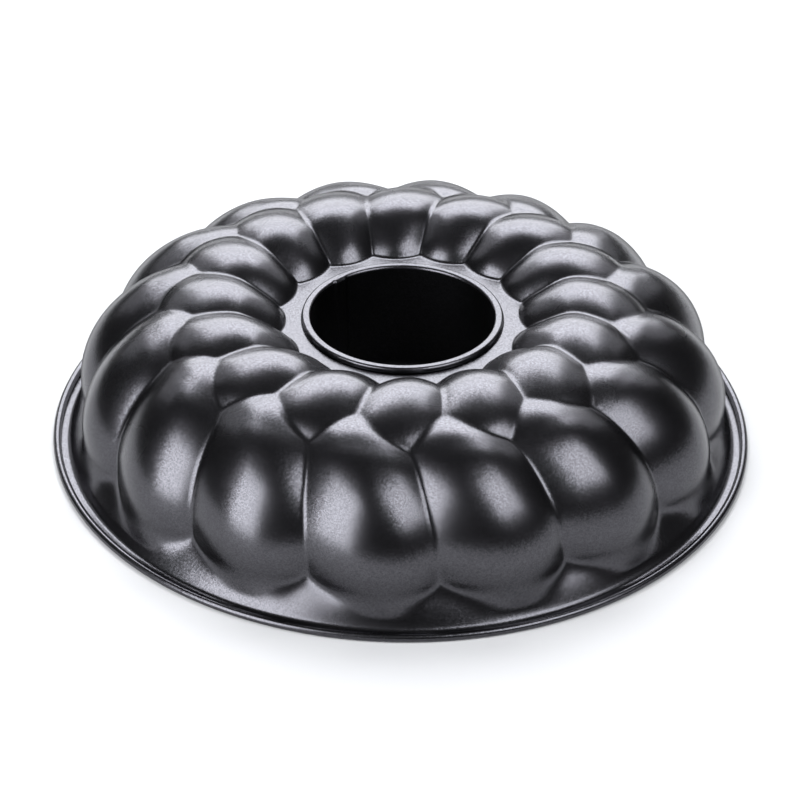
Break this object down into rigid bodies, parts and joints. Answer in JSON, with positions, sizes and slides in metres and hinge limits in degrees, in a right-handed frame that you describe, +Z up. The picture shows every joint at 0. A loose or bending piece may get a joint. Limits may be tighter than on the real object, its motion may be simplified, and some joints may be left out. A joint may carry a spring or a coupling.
{
  "type": "bundt pan",
  "caption": "Ring cake pan with staggered rows of pressed lobes, a conical centre tube rolled over its collar, and a rim rolled round a wire.",
  "frame": {"origin": "centre of the rolled rim, on the plane that the upturned pan rests on", "axes": "+Z up along the axis of the centre tube, away from the pan's opening; +X and +Y lie in the rest plane, with the tip of one inner lobe 1.89 degrees from +X towards +Y"},
  "size_m": [0.28, 0.28, 0.0641],
  "materials": {
    "coated_sheet": "satin dark grey non-stick coating with fine metallic flecks",
    "coated_tube": "satin dark grey non-stick coating with fine metallic flecks",
    "wire": "drawn steel wire, hidden in the rolled rim"
  },
  "bodies": {
    "root": {"pan_shell": "coated_sheet", "centre_tube": "coated_tube", "rim_wire": "wire"}
  },
  "joints": []
}
